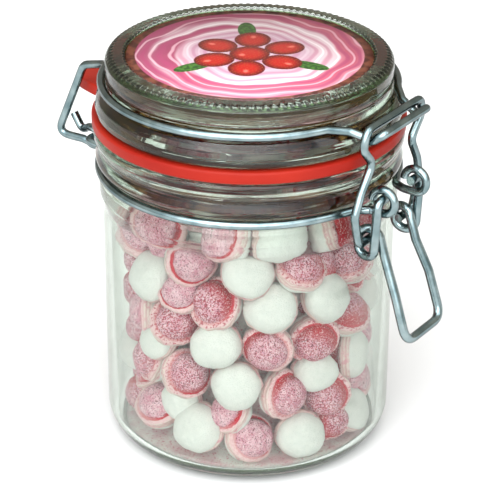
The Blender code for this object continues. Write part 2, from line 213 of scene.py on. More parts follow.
def turned_tree():
    """Geometry Nodes that turn a profile about Z, with an optional band of knurled teeth."""
    tree = bpy.data.node_groups.new("turned glass", "GeometryNodeTree")
    for name, kind in (("Profile", "NodeSocketGeometry"), ("Steps", "NodeSocketInt"),
                       ("Teeth", "NodeSocketInt"), ("Tooth depth", "NodeSocketFloat"),
                       ("Tooth low", "NodeSocketFloat"), ("Tooth high", "NodeSocketFloat"),
                       ("Material", "NodeSocketMaterial")):
        tree.interface.new_socket(name, in_out="INPUT", socket_type=kind)
    tree.interface.new_socket("Turned", in_out="OUTPUT", socket_type="NodeSocketGeometry")
    given = add_node(tree, "NodeGroupInput").outputs
    count = add_node(tree, "GeometryNodeAttributeDomainSize", {"Geometry": given["Profile"]},
                     component="MESH").outputs["Point Count"]
    columns = add_node(tree, "Math", {0: given["Steps"], 1: 1.0}, operation="ADD")
    grid = add_node(tree, "GeometryNodeMeshGrid", {"Vertices X": count, "Vertices Y": columns})
    index = add_node(tree, "GeometryNodeInputIndex")
    row = add_node(tree, "Math", {0: index, 1: columns}, operation="DIVIDE")
    row = add_node(tree, "Math", {0: row}, operation="FLOOR")
    column = add_node(tree, "Math", {0: index, 1: columns}, operation="MODULO")
    turn = add_node(tree, "Math", {0: column, 1: given["Steps"]}, operation="DIVIDE")
    angle = add_node(tree, "Math", {0: turn, 1: 2 * math.pi}, operation="MULTIPLY")
    place = add_node(tree, "GeometryNodeInputPosition")
    point = add_node(tree, "GeometryNodeSampleIndex", {
        "Geometry": given["Profile"], "Index": row, "Value": place}, data_type="FLOAT_VECTOR", domain="POINT")
    across = add_node(tree, "SeparateXYZ", {"Vector": point}).outputs
    wave = add_node(tree, "Math", {0: angle, 1: given["Teeth"]}, operation="MULTIPLY")
    wave = add_node(tree, "Math", {0: wave}, operation="COSINE")
    above = add_node(tree, "Math", {0: across["Z"], 1: given["Tooth low"]}, operation="GREATER_THAN")
    below = add_node(tree, "Math", {0: across["Z"], 1: given["Tooth high"]}, operation="LESS_THAN")
    band = add_node(tree, "Math", {0: above, 1: below}, operation="MULTIPLY")
    cut = add_node(tree, "Math", {0: wave, 1: given["Tooth depth"]}, operation="MULTIPLY")
    radius = add_node(tree, "Math", {0: cut, 1: band, 2: across["X"]}, operation="MULTIPLY_ADD")
    sides = []
    for kind in ("COSINE", "SINE"):
        side = add_node(tree, "Math", {0: angle}, operation=kind)
        sides.append(add_node(tree, "Math", {0: radius, 1: side}, operation="MULTIPLY"))
    there = add_node(tree, "CombineXYZ", {"X": sides[0], "Y": sides[1], "Z": across["Z"]})
    moved = add_node(tree, "GeometryNodeSetPosition", {"Geometry": grid.outputs["Mesh"], "Position": there})
    closed = add_node(tree, "GeometryNodeMergeByDistance", {"Geometry": moved, "Distance": 2e-6})
    even = add_node(tree, "GeometryNodeSetShadeSmooth", {"Geometry": closed})
    solid = add_node(tree, "GeometryNodeRealizeInstances", {"Geometry": even})
    coated = add_node(tree, "GeometryNodeSetMaterial", {"Geometry": solid, "Material": given["Material"]})
    add_node(tree, "NodeGroupOutput", {"Turned": coated})
    return tree


def applied(name, source, tree, values):
    """Runs a node tree on an object, and returns its result as a plain mesh piece facing outwards."""
    grown = source.modifiers.new("grow", "NODES")
    grown.node_group = tree
    sockets = {s.name: s.identifier for s in tree.interface.items_tree if s.in_out == "INPUT"}
    for key, value in values.items():
        grown[sockets[key]] = value
    bpy.context.view_layer.update()
    shape = source.evaluated_get(bpy.context.evaluated_depsgraph_get())
    mesh = bpy.data.meshes.new_from_object(shape)
    bpy.data.objects.remove(source)
    form = bmesh.new()
    form.from_mesh(mesh)
    bmesh.ops.recalc_face_normals(form, faces=form.faces)
    form.to_mesh(mesh)
    form.free()
    mesh.name = name
    made = bpy.data.objects.new(name, mesh)
    bpy.context.scene.collection.objects.link(made)
    return made


TURNED = turned_tree()


def turned(name, profile, finish, steps, teeth=0, depth=0.0, low=0.0, high=0.0):
    """A piece turned about Z from a profile in millimetres that ends on the axis."""
    line = bpy.data.meshes.new(name + "_profile")
    spots = [(p[0] * MM, 0.0, p[1] * MM) for p in profile]
    line.from_pydata(spots, [(i, i + 1) for i in range(len(spots) - 1)], [])
    source = bpy.data.objects.new(name + "_profile", line)
    bpy.context.scene.collection.objects.link(source)
    return applied(name, source, TURNED, {
        "Steps": steps, "Teeth": teeth, "Tooth depth": depth * MM, "Tooth low": low * MM,
        "Tooth high": high * MM, "Material": finish})


def stained(tree, colour, tone, pattern, low, high, strength=1.0):
    """A colour with another laid over it, softly, as a pattern's value goes from low to high."""
    share = add_node(tree, "MapRange", {"Value": pattern, "From Min": low, "From Max": high,
                                        "To Max": strength}, interpolation_type="SMOOTHSTEP")
    return add_node(tree, "Mix", {0: share, 6: colour, 7: tone}, data_type="RGBA").outputs[2]


GLASS_IOR = 1.44
GLASS_TINT = 40.0                      # how strongly thick glass gathers its green, to the metre
STREAKS = (45.0, 45.0, 1100.0)         # waves to the metre: level streaks of 22 mm by 0.9 mm from the mould, and patches of 36 mm by 1.9 mm that break up each band of glass tint, painted reflection and painted shade
PATCHES = (28.0, 28.0, 520.0)          # and patches of 36 mm by 1.9 mm that break up a band of tint
STREAK_DEPTH = 0.08
JAR_TINT_AND_PAINTED_REFLECTION_BANDS = (                          # low edge, high edge, how much it covers from 0.3 to 1, tone: the dark green of the thick base, then painted brown reflections, then the ring's red as a painted reflection
    (-1.0, 2.3, 1.0, "36422E"), (81.9, 87.6, 0.56, "4C240A"), (89.3, 91.9, 0.53, "84221E"))


def glass_finish(name, wave_size, wave_depth, edge_tint_and_painted_shade, streaks_from, tint_and_painted_light_bands):
    """Clear pressed glass, tinted green by its thickness, and greyish green towards its edges, partly from
    the longer path and partly painted shade. Its IOR is matched a little below soda-lime's 1.52, so that the
    white table mirrored in it veils the candies less. The mould leaves slow waves, and level streaks above a
    height. Bands of colour at the beads are partly the green of
    thick glass and partly painted light: painted reflections of a room's browns, of the ring's red and of the
    print's pink, and painted shade in the lid's bevel. Each band has its edges, its cover and its tone."""
    finish, tree = new_finish(name, {"Roughness": 0.0, "IOR": GLASS_IOR, "Transmission Weight": 1.0})
    at = add_node(tree, "TexCoord").outputs["Object"]
    height = add_node(tree, "SeparateXYZ", {"Vector": at}).outputs["Z"]
    height = add_node(tree, "Math", {0: height, 1: 1000.0}, operation="MULTIPLY")
    level = []
    for waves in (STREAKS, PATCHES):
        drawn_out = add_node(tree, "VectorMath", {0: at, 1: waves}, operation="MULTIPLY")
        level.append(add_node(tree, "TexNoise", {"Vector": drawn_out, "Scale": 1.0, "Detail": 2.0}))
    streaks, patches = level
    turned_away = add_node(tree, "LayerWeight", {"Blend": 0.5}).outputs["Facing"]
    # Greyish green towards the edges: partly the longer path through the glass, partly painted shade.
    colour = stained(tree, "FCFEFC", edge_tint_and_painted_shade, turned_away, 0.45, 0.95)
    # Bands of painted reflection and painted shade, with the green of thick glass, each broken up by the
    # patches.
    for low, high, cover, tone in tint_and_painted_light_bands:
        share = 1.0
        for value, start, end in ((height, low - 0.2, low + 0.3), (height, high + 0.04, high - 0.2)):
            share = add_node(tree, "MapRange", {"Value": value, "From Min": start, "From Max": end,
                                                "To Max": share}, interpolation_type="SMOOTHSTEP")
        colour = stained(tree, colour, tone, patches, 0.98 - cover, 1.05 - cover, share)
    raised = add_node(tree, "MapRange", {
        "Value": height, "From Min": streaks_from, "From Max": streaks_from + 1.0, "To Max": streaks},
        interpolation_type="SMOOTHSTEP")
    waves = add_node(tree, "TexNoise", {"Vector": at, "Scale": 1000.0 / wave_size, "Detail": 2.0})
    relief = add_node(tree, "Bump", {"Height": waves, "Strength": 1.0, "Distance": wave_depth * MM})
    relief = add_node(tree, "Bump", {"Height": raised, "Strength": 1.0, "Distance": STREAK_DEPTH * MM,
                                     "Normal": relief})
    tint = add_node(tree, "VolumeAbsorption", {"Color": "8FC09A", "Density": GLASS_TINT})
    surface = tree.nodes["Principled BSDF"].inputs
    tree.links.new(colour, surface["Base Color"])
    tree.links.new(relief.outputs[0], surface["Normal"])
    tree.links.new(tint.outputs[0], tree.nodes["Material Output"].inputs["Volume"])
    return finish


inner_r = BODY_R - WALL
groove_r = NECK_RING_R - WIRE_D / 2 - GAP
jar_outside = [(0.0, 0.0), (BODY_R - CORNER_R - 1.5, 0.0)]
jar_outside += arc((BODY_R - CORNER_R, CORNER_R), CORNER_R, -88, 0, 16)
jar_outside += [(BODY_R, BODY_TOP), (BODY_R - 0.2, 69.8), (40.9, 73.4), (41.0, 77.2), (40.4, 78.4)]
jar_outside += [(groove_r, 79.2), (groove_r, 81.4), (41.6, 82.4), (41.8, 83.8), (40.7, 86.4)]
jar_outside += [(42.2, 89.6), (42.2, 91.2), (41.5, LIP_TOP)]
jar_inside = [(MOUTH_R + 0.8, LIP_TOP), (MOUTH_R, LIP_TOP - 1.0), (MOUTH_R, NECK_END)]
jar_inside += [(inner_r - 0.5, NECK_START + 1.6), (inner_r, NECK_START - 3.0)]
jar_inside += arc((inner_r - INNER_CORNER_R, FLOOR + INNER_CORNER_R), INNER_CORNER_R, 0, -90, 14)
jar_inside += [(0.0, FLOOR + FLOOR_RISE)]
jar = turned("jar_glass", bend(jar_outside + jar_inside, 1.6, 6, math.radians(9.0)),
             glass_finish("pressed soda-lime glass", 16.0, 0.012, "68705F", 69.0, JAR_TINT_AND_PAINTED_REFLECTION_BANDS), JAR_STEPS)
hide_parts("jar")
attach(jar, "jar_body")

# ---------------------------------------------------------------- candies
# Sugar-frosted yogurt candies, each a pink dome pressed on a white one, with a crimson seam between.
# One candy is turned once, then set at every place of the settled heap, turned at random and uneven.

CANDY_R = 7.2
CANDY_COUNT = 112
CANDY_SPREAD = 0.03            # share by which sizes differ
CANDY_SEED = 11
CANDY_HOLD = 0.2               # how firmly a listed candy keeps its place, as a share a round
CANDY_FALL = 0.35              # how far it drops in the first round, and how far it slides to the wall
CANDY_SLIDE = 0.1
CANDY_PUSH = 0.28              # share of an overlap by which two are pushed apart at a time
CANDY_FRONT = -145.5           # angle of the side from which the listed candies are seen
WHITE_SHOWN = (                # turn from that side, height, and depth behind the wall
    (-1, 63.5, 0), (-57, 53.7, 0), (10, 48.9, 0), (43, 50.6, 0), (86, 40.4, 0), (-22, 36, 7),
    (-4, 30.8, 0), (49, 23, 7), (-87, 22, 0), (-24, 12, 0), (64, 10.5, 0))
PINK_SHOWN = (
    (-66, 61.8, 0), (-27, 64.8, 0), (25, 63.4, 0), (58, 57.1, 0), (-17, 49.9, 0), (-46, 44.7, 0),
    (-86, 41.2, 0), (36, 39.8, 0), (62, 39.4, 0), (18, 33.7, 6), (-31, 29.6, 0), (86, 27.4, 0),
    (21, 23.4, 0), (46, 19.9, 0), (-57, 14.4, 0), (3, 10.5, 0), (88, 14, 0))
FILL_COUNT = 26                # smaller candies, which stand for those half hidden between the others
FILL_R = 6.2
FILL_DEEP = 4.0                # how far behind the wall they lie at most
FILL_TRIES = 500               # random spots tried for each of them
WHITE_SHARE = 0.22             # of the candies that turn their white side out
WHITE_TILT = 26.0              # greatest lean from facing straight out, in degrees, and PINK_TILT too
PINK_TILT = 42.0
HEAP_R = BODY_R - WALL - 2 * GAP
HEAP_FLOOR = FLOOR + FLOOR_RISE + GAP
HEAP_TOP = 79.0
LUCK_APART = 97.0              # keeps the patterns of one candy clear of another's
SWELL_SCALE = 1.1              # of the slow swells and the fine nibs of its form, 6.5 and 1.3 mm apart,
NIB_SCALE = 5.5                # in waves to its radius
RIM_STARTS = (-0.34, -0.08)    # heights in its radii between which the rim's nibs come in, and go out again
RIM_ENDS = (0.12, 0.0)


def inner_radius(height):
    """Radius of the room inside the jar at each height."""
    narrow = np.clip((height - NECK_START) / (NECK_END - NECK_START), 0.0, 1.0)
    return HEAP_R - narrow * (HEAP_R - MOUTH_R + GAP)


def settled_candies():
    """Centres and radii of the candies, dropped at random and pushed apart until they rest. The
    listed ones come first, and are held near their places."""
    draw = np.random.default_rng(CANDY_SEED)
    radius = CANDY_R * (1 + draw.uniform(-CANDY_SPREAD, CANDY_SPREAD, CANDY_COUNT))
    angle = draw.uniform(0, 2 * math.pi, CANDY_COUNT)
    out = (HEAP_R - CANDY_R) * np.sqrt(draw.uniform(0, 1, CANDY_COUNT))
    height = np.linspace(HEAP_FLOOR + CANDY_R, 1.3 * BODY_TOP, CANDY_COUNT)
    shown = np.array(WHITE_SHOWN + PINK_SHOWN)
    held = len(shown)
    angle[:held] = np.radians(CANDY_FRONT + shown[:, 0])
    height[:held] = shown[:, 1]
    out[:held] = HEAP_R - CANDY_R - shown[:, 2]
    place = np.stack([out * np.cos(angle), out * np.sin(angle), height], axis=1)
    home = place[:held].copy()
    touch = radius[:, None] + radius[None, :]
    rounds = 900
    for step in range(rounds):
        slowing = 1 - step / rounds
        across = np.hypot(place[:, 0], place[:, 1])
        place[held:, 2] -= CANDY_FALL * slowing
        place[held:, :2] *= 1 + CANDY_SLIDE * slowing / np.maximum(across[held:, None], 10)
        for _ in range(3):
            place[:held] += CANDY_HOLD * (home - place[:held])
            apart = place[:, None, :] - place[None, :, :]
            distance = np.linalg.norm(apart, axis=2) + np.eye(CANDY_COUNT) * 1e3
            press = np.maximum(touch - distance, 0.0)
            place += CANDY_PUSH * np.sum(apart / distance[:, :, None] * press[:, :, None], axis=1)
            place[:, 2] = np.clip(place[:, 2], HEAP_FLOOR + radius, HEAP_TOP - radius)
            across = np.hypot(place[:, 0], place[:, 1])
            room = inner_radius(place[:, 2]) - radius
            place[:, :2] *= np.minimum(1.0, room / np.maximum(across, 1e-6))[:, None]
    return place, radius


def with_gaps_filled(place, radius):
    """Adds smaller candies, one by one, in the widest gap that is left near the wall."""
    draw = np.random.default_rng(CANDY_SEED + 2)
    for _ in range(FILL_COUNT):
        turn = draw.uniform(0, 2 * math.pi, FILL_TRIES)
        height = draw.uniform(HEAP_FLOOR + FILL_R, HEAP_TOP - CANDY_R, FILL_TRIES)
        out = inner_radius(height) - FILL_R - draw.uniform(0, FILL_DEEP, FILL_TRIES)
        spots = np.stack([out * np.cos(turn), out * np.sin(turn), height], axis=1)
        room = np.linalg.norm(spots[:, None] - place[None], axis=2) - radius[None]
        place = np.vstack([place, spots[np.argmax(room.min(axis=1))]])
        radius = np.append(radius, FILL_R)
    return place, radius


def one_candy():
    """A candy of radius 1: its pink dome up, the seam's groove, the ridged cream rim, the white dome."""
    profile = [(0.77 * math.sin(a), 0.14 + 0.62 * math.cos(a)) for a in np.radians(range(0, 85, 12))]
    profile += [(0.775, 0.15), (0.81, 0.125), (0.88, 0.125), (0.95, 0.09), (0.99, 0.03), (0.995, -0.04)]
    profile += [(0.965, -0.10), (0.985, -0.14), (0.98, -0.19), (0.955, -0.215)]
    angles = np.radians(range(6, 90, 12))
    profile += [(0.975 * math.cos(a) ** 0.85, -0.22 - 0.62 * math.sin(a)) for a in angles]
    profile += [(0.0, -0.84)]
    form = bmesh.new()
    line = [form.verts.new((r, 0.0, z)) for r, z in profile]
    edges = [form.edges.new(pair) for pair in zip(line, line[1:])]
    bmesh.ops.spin(form, geom=line + edges, cent=(0, 0, 0), axis=(0, 0, 1), angle=2 * math.pi,
                   steps=28, use_merge=True)
    bmesh.ops.remove_doubles(form, verts=form.verts, dist=1e-4)
    bmesh.ops.recalc_face_normals(form, faces=form.faces)
    mesh = bpy.data.meshes.new("one_candy")
    form.to_mesh(mesh)
    form.free()
    return bpy.data.objects.new("one_candy", mesh)


def heap_tree():
    """Geometry Nodes that set a candy on every point, with its own turn, size and uneven form."""
    tree = bpy.data.node_groups.new("heap of candies", "GeometryNodeTree")
    for name, kind in (("Places", "NodeSocketGeometry"), ("Candy", "NodeSocketObject"),
                       ("Unevenness", "NodeSocketFloat"), ("Nibs", "NodeSocketFloat"),
                       ("Material", "NodeSocketMaterial")):
        tree.interface.new_socket(name, in_out="INPUT", socket_type=kind)
    tree.interface.new_socket("Heap", in_out="OUTPUT", socket_type="NodeSocketGeometry")
    given = add_node(tree, "NodeGroupInput").outputs
    candy = add_node(tree, "GeometryNodeObjectInfo", {"Object": given["Candy"]}).outputs["Geometry"]
    kept = add_node(tree, "GeometryNodeStoreNamedAttribute", {
        "Geometry": candy, "Name": "spot", "Value": add_node(tree, "GeometryNodeInputPosition")},
        data_type="FLOAT_VECTOR", domain="POINT")
    own = {}
    for name, kind in (("facing", "FLOAT_VECTOR"), ("size", "FLOAT"), ("spot", "FLOAT_VECTOR"),
                       ("luck", "FLOAT")):
        own[name] = add_node(tree, "GeometryNodeInputNamedAttribute", {"Name": name}, data_type=kind)
    placed = add_node(tree, "GeometryNodeInstanceOnPoints", {
        "Points": given["Places"], "Instance": kept, "Rotation": own["facing"], "Scale": own["size"]})
    solid = add_node(tree, "GeometryNodeRealizeInstances", {"Geometry": placed})
    far = add_node(tree, "Math", {0: own["luck"], 1: LUCK_APART}, operation="MULTIPLY")
    pushes = []
    for scale, depth in ((SWELL_SCALE, given["Unevenness"]), (NIB_SCALE, given["Nibs"])):
        lump = add_node(tree, "TexNoise", {"Vector": own["spot"], "W": far, "Scale": scale, "Detail": 1.0},
                        noise_dimensions="4D")
        lump = add_node(tree, "Math", {0: lump, 1: 0.5}, operation="SUBTRACT")
        pushes.append(add_node(tree, "Math", {0: lump, 1: depth}, operation="MULTIPLY"))
    height = add_node(tree, "SeparateXYZ", {"Vector": own["spot"]}).outputs["Z"]
    at_rim = add_node(tree, "MapRange", {
        "Value": height, "From Min": RIM_STARTS[0], "From Max": RIM_STARTS[1]})
    at_rim = add_node(tree, "MapRange", {
        "Value": height, "From Min": RIM_ENDS[0], "From Max": RIM_ENDS[1], "To Max": at_rim})
    push = add_node(tree, "Math", {0: pushes[1], 1: at_rim, 2: pushes[0]}, operation="MULTIPLY_ADD")
    normal = add_node(tree, "GeometryNodeInputNormal")
    away = add_node(tree, "VectorMath", {0: normal, "Scale": push}, operation="SCALE")
    moved = add_node(tree, "GeometryNodeSetPosition", {"Geometry": solid, "Offset": away})
    even = add_node(tree, "GeometryNodeSetShadeSmooth", {"Geometry": moved})
    coated = add_node(tree, "GeometryNodeSetMaterial", {"Geometry": even, "Material": given["Material"]})
    add_node(tree, "NodeGroupOutput", {"Heap": coated})
    return tree


def dress(tree, colour, height, strength, depth):
    """Feeds a shader its colour, and a relief in metres from a pattern's height."""
    surface = tree.nodes["Principled BSDF"].inputs
    tree.links.new(colour, surface["Base Color"])
    relief = add_node(tree, "Bump", {"Height": height, "Strength": strength, "Distance": depth})
    tree.links.new(relief.outputs[0], surface["Normal"])


def candy_finish():
    """Pressed sugar with dried fruit: matte, grainy, crimson where the fruit gathers at the seam. Its
    patterns are sized in waves to a candy's radius of 7.2 mm, so that 20 makes grains of 0.36 mm."""
    finish, tree = new_finish("frosted sugar candy", {"Roughness": 0.62, "Specular IOR Level": 0.3})
    spot = add_node(tree, "Attribute", attribute_name="spot").outputs["Vector"]
    luck = add_node(tree, "Attribute", attribute_name="luck").outputs["Fac"]
    own = add_node(tree, "SeparateXYZ", {"Vector": spot}).outputs
    noise = {}
    for use, apart, scale, detail in (             # each pattern is apart from the others
            ("side", 3.0, 1.3, 1.0), ("ragged", 5.0, 7.0, 3.0), ("dusty", 7.0, 3.0, 2.0),
            ("fruit", 9.0, 17.0, 2.0), ("specks", 11.0, 20.0, 1.0), ("frost", 13.0, 21.0, 2.0),
            ("edge", 15.0, 6.0, 2.0), ("stain", 17.0, 5.0, 3.0), ("white", 19.0, 5.0, 3.0),
            ("brim", 21.0, 13.0, 2.0)):
        far = add_node(tree, "Math", {0: luck, 1: LUCK_APART, 2: apart}, operation="MULTIPLY_ADD")
        noise[use] = add_node(tree, "TexNoise", {"Vector": spot, "W": far, "Scale": scale, "Detail": detail},
                              noise_dimensions="4D")
    sideways = add_node(tree, "Math", {0: own["X"], 1: noise["side"]}, operation="ADD")
    share = {}
    for use, value, low, high, least, most in (    # riper candies, and a side of each, hold more fruit
            ("ripe", luck, 0.10, 0.70, 0.0, 1.0), ("fruit", luck, 0.10, 0.70, 0.28, 0.88),
            ("brim", luck, 0.10, 0.70, 0.15, 0.75), ("side", sideways, -0.1, 1.0, 0.0, 1.0),
            ("crimson", sideways, -0.1, 1.0, 0.2, 1.0), ("seam", sideways, -0.1, 1.0, 0.35, 1.0)):
        share[use] = add_node(tree, "MapRange", {"Value": value, "From Min": low, "From Max": high,
                                                 "To Min": least, "To Max": most},
                              interpolation_type="SMOOTHSTEP")
    flat = add_node(tree, "VectorMath", {0: spot, 1: (1.0, 1.0, 0.0)}, operation="MULTIPLY")
    ring = add_node(tree, "VectorMath", {0: flat}, operation="LENGTH")
    reach = add_node(tree, "Math", {0: share["ripe"], 1: share["side"]}, operation="MULTIPLY")
    reach = add_node(tree, "Math", {0: reach, 1: 0.62, 2: 0.06}, operation="MULTIPLY_ADD")
    climb = add_node(tree, "Math", {0: noise["ragged"], 1: 0.3, 2: own["Z"]}, operation="MULTIPLY_ADD")
    climb = add_node(tree, "Math", {0: climb, 1: 0.31}, operation="SUBTRACT")
    climb = add_node(tree, "Math", {0: climb, 1: reach}, operation="DIVIDE")
    off_seam = add_node(tree, "Math", {0: noise["ragged"], 1: 0.12, 2: ring}, operation="MULTIPLY_ADD")
    off_seam = add_node(tree, "Math", {0: off_seam, 1: 0.86}, operation="SUBTRACT")
    off_seam = add_node(tree, "Math", {0: off_seam}, operation="ABSOLUTE")
    edge = add_node(tree, "Math", {0: noise["edge"], 1: 0.12, 2: own["Z"]}, operation="MULTIPLY_ADD")
    pink = stained(tree, "E6BCC8", "D28EA0", noise["dusty"], 0.35, 0.65)
    pink = stained(tree, pink, "A80A30", noise["fruit"], 0.47, 0.56, share["fruit"])
    pink = stained(tree, pink, "6C0C28", noise["specks"], 0.58, 0.63, 0.9)
    pink = stained(tree, pink, "B4001E", climb, 1.1, 0.3, share["crimson"])
    pink = stained(tree, pink, "F4DCE0", noise["frost"], 0.56, 0.64, 0.6)
    brim = stained(tree, "E6C0C2", "B41C3E", noise["brim"], 0.50, 0.60, share["brim"])
    brim = stained(tree, brim, "C0042A", off_seam, 0.075, 0.035, share["seam"])
    pink = stained(tree, pink, brim, ring, 0.765, 0.785)
    far = add_node(tree, "Math", {0: luck, 1: LUCK_APART}, operation="MULTIPLY")
    lines = add_node(tree, "TexWave", {"Vector": spot, "Scale": 2.6, "Distortion": 1.5, "Detail": 1.0,
                                       "Phase Offset": far}, bands_direction="Z").outputs["Fac"]
    cream = add_node(tree, "Mix", {0: lines, 6: "E8D4CE", 7: "D7ADAC"}, data_type="RGBA")
    cream = stained(tree, cream, "D98A9A", noise["stain"], 0.52, 0.66, 0.7)
    white = stained(tree, "E3E1DD", "DCDBD7", noise["white"], 0.3, 0.7)
    colour = stained(tree, white, cream, edge, -0.24, -0.16)
    dress(tree, stained(tree, colour, pink, edge, 0.09, 0.14), noise["frost"], 0.8, 0.0003)
    return finish


places, radii = with_gaps_filled(*settled_candies())
places_mesh = bpy.data.meshes.new("places")
places_mesh.from_pydata([tuple(p * MM) for p in places], [], [])
turns = np.random.default_rng(CANDY_SEED + 1)
seen_from = Vector((math.cos(math.radians(CANDY_FRONT)), math.sin(math.radians(CANDY_FRONT)), 0.5))
facing = []
for number, place in enumerate(places):
    shown = number < len(WHITE_SHOWN + PINK_SHOWN)
    white = number < len(WHITE_SHOWN) or not shown and turns.uniform() < WHITE_SHARE
    outward = Vector((place[0], place[1], 0)).normalized() + Vector((0, 0, 0.4))
    if shown:
        outward += seen_from
    tilt = WHITE_TILT if white else PINK_TILT
    lean = Vector(turns.normal(0, 1, 3)).cross(outward).normalized()
    pole = outward.normalized() + lean * math.tan(math.radians(tilt) * math.sqrt(turns.uniform(0.1, 1)))
    roll = Quaternion((0, 0, 1), turns.uniform(0, 2 * math.pi))
    facing.append((-pole if white else pole).to_track_quat("Z", "Y") @ roll)
luck = turns.permutation(np.linspace(0, 1, len(places)))
for label, kind, values in (("facing", "FLOAT_VECTOR", [q.to_euler() for q in facing]),
                            ("size", "FLOAT", radii * MM), ("luck", "FLOAT", luck)):
    data = places_mesh.attributes.new(label, kind, "POINT").data
    part = "vector" if kind == "FLOAT_VECTOR" else "value"
    data.foreach_set(part, np.array(values, dtype=np.float32).ravel())
sample = one_candy()
bpy.context.scene.collection.objects.link(sample)
places_object = bpy.data.objects.new("places", places_mesh)
bpy.context.scene.collection.objects.link(places_object)
candies = applied("yogurt_candies", places_object, heap_tree(), {
    "Candy": sample, "Unevenness": 2.0 * MM, "Nibs": 2.4 * MM, "Material": candy_finish()})
bpy.data.objects.remove(sample)
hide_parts("candies")
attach(candies, "jar_body")

# ---------------------------------------------------------------- heap's core and crumbs
# The candies deep in the heap, which hardly show, as one core, and the sugar and crumbs that have
# gathered at the bottom. They lie against the glass with no air between, so the turned form reaches
# a little into the wall.

CORE_R = 22.0
CORE_TOP = 62.0
INTO_WALL = 0.05
DRIFT_SIZE = 8.333             # patches of pinker sugar
CRUMB_SIZE = 0.625             # coarser than real sugar, so that it shows

# Matte and grainy, white and pale pink, with red grains of fruit.
crumbs, tree = new_finish("crushed sugar candy", {"Roughness": 0.8})
at = add_node(tree, "TexCoord").outputs["Object"]
drifts = add_node(tree, "TexNoise", {"Vector": at, "Scale": 1000.0 / DRIFT_SIZE, "Detail": 3.0})
grain = add_node(tree, "TexNoise", {"Vector": at, "Scale": 1000.0 / CRUMB_SIZE, "Detail": 3.0})
sugar = stained(tree, "E0DAD5", "D6B2B6", drifts, 0.4, 0.65)
dress(tree, stained(tree, sugar, "BC3A58", grain, 0.56, 0.66, 0.6), grain, 0.8, 0.0004)

wall_r = inner_r + INTO_WALL
heap_inside = [(0.0, CORE_TOP), (CORE_R - 4.0, CORE_TOP - 1.0), (CORE_R, CORE_TOP - 6.0), (CORE_R, 9.0)]
heap_inside += [(CORE_R + 3.0, 4.0), (wall_r - 5.0, 3.2)]
corner = (wall_r - INNER_CORNER_R, FLOOR - INTO_WALL + INNER_CORNER_R)
heap_outside = arc(corner, INNER_CORNER_R, -58, -90, 6)
heap_outside += [(0.0, FLOOR + FLOOR_RISE - INTO_WALL)]
core = turned("heap_core", heap_inside + heap_outside, crumbs, 72)
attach(core, "jar_body")

# ---------------------------------------------------------------- rubber ring
# Moulded natural rubber, red: a flat ring squeezed between lid and lip, with a pull tab at the back.
# Its edges are softly rounded.

GASKET_R = 42.5
GASKET_BORE = 34.9
GASKET_LOW = LIP_TOP + GAP
GASKET_THICK = 3.4
TAB_TIP = 53.6
TAB_ROOT_HALF = 12.4
TAB_TIP_HALF = 8.9
CLOUD_SIZE = 16.67
PORE_SIZE = 0.5556             # coarser than the real mould's grain, so that it shows


def gasket_edge(angle):
    """Outer radius of the ring at an angle from the middle of its tab, with soft corners."""
    if abs(angle) > math.atan2(TAB_ROOT_HALF, GASKET_R - 1.5):
        return GASKET_R
    root_out = math.sqrt(GASKET_R ** 2 - TAB_ROOT_HALF ** 2)
    slope = (TAB_ROOT_HALF - TAB_TIP_HALF) / (TAB_TIP - root_out)
    side = (TAB_ROOT_HALF + slope * root_out) / (math.sin(abs(angle)) + slope * math.cos(angle))
    tip = TAB_TIP / math.cos(angle)
    return max(GASKET_R, (side ** -24 + tip ** -24) ** (-1 / 24))


def make_gasket():
    """The ring's mesh: a rounded section that follows the outline."""
    soft = 0.7
    section = []                      # a corner by its side and its top, and an angle round it
    for corner, start in (((1, 0), -90), ((1, 1), 0), ((-1, 1), 90), ((-1, 0), 180)):
        for a in range(start, start + 91, 18):
            section.append((corner, math.radians(a)))
    steps = [math.radians(a / 2) for a in range(-40, 41)]
    steps += [math.radians(20 + 2 * i) for i in range(1, 160)]
    form = bmesh.new()
    rows = []
    for angle in steps:
        outer = gasket_edge(math.remainder(angle, 2 * math.pi))
        row = []
        for (side, top), a in section:
            r = (outer - soft if side > 0 else GASKET_BORE + soft) + soft * math.cos(a)
            z = GASKET_LOW + (GASKET_THICK - soft if top else soft) + soft * math.sin(a)
            row.append(form.verts.new((r * math.sin(angle) * MM, r * math.cos(angle) * MM, z * MM)))
        rows.append(row)
    for row, after in zip(rows, rows[1:] + rows[:1]):
        for i in range(len(row)):
            j = (i + 1) % len(row)
            form.faces.new((row[i], row[j], after[j], after[i]))
    bmesh.ops.recalc_face_normals(form, faces=form.faces)
    mesh = bpy.data.meshes.new("rubber_ring")
    form.to_mesh(mesh)
    form.free()
    mesh.shade_smooth()
    made = bpy.data.objects.new("rubber_ring", mesh)
    bpy.context.scene.collection.objects.link(made)
    return made


# Satin red, hardly clouded, with the fine grain of its mould.
rubber, tree = new_finish("moulded red rubber", {"Roughness": 0.5, "Specular IOR Level": 0.2})
at = add_node(tree, "TexCoord").outputs["Object"]
cloud = add_node(tree, "TexNoise", {"Vector": at, "Scale": 1000.0 / CLOUD_SIZE, "Detail": 3.0})
cloud = add_node(tree, "MapRange", {"Value": cloud, "From Min": 0.35, "From Max": 0.65})
tone = add_node(tree, "Mix", {0: cloud, 6: "8C1508", 7: "9A1E0E"}, data_type="RGBA").outputs[2]
pores = add_node(tree, "TexNoise", {"Vector": at, "Scale": 1000.0 / PORE_SIZE, "Detail": 2.0})
dress(tree, tone, pores, 0.25, 0.0001)
gasket = make_gasket()
gasket.data.materials.append(rubber)
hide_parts("gasket")
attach(gasket, "jar_body")

# ---------------------------------------------------------------- lid
# Pressed glass like the jar: a flange on the ring, a groove for the wire, a plain band and a knurled
# bevel round the rim, with a recess on top for the printed disc and a collar below for the mouth.

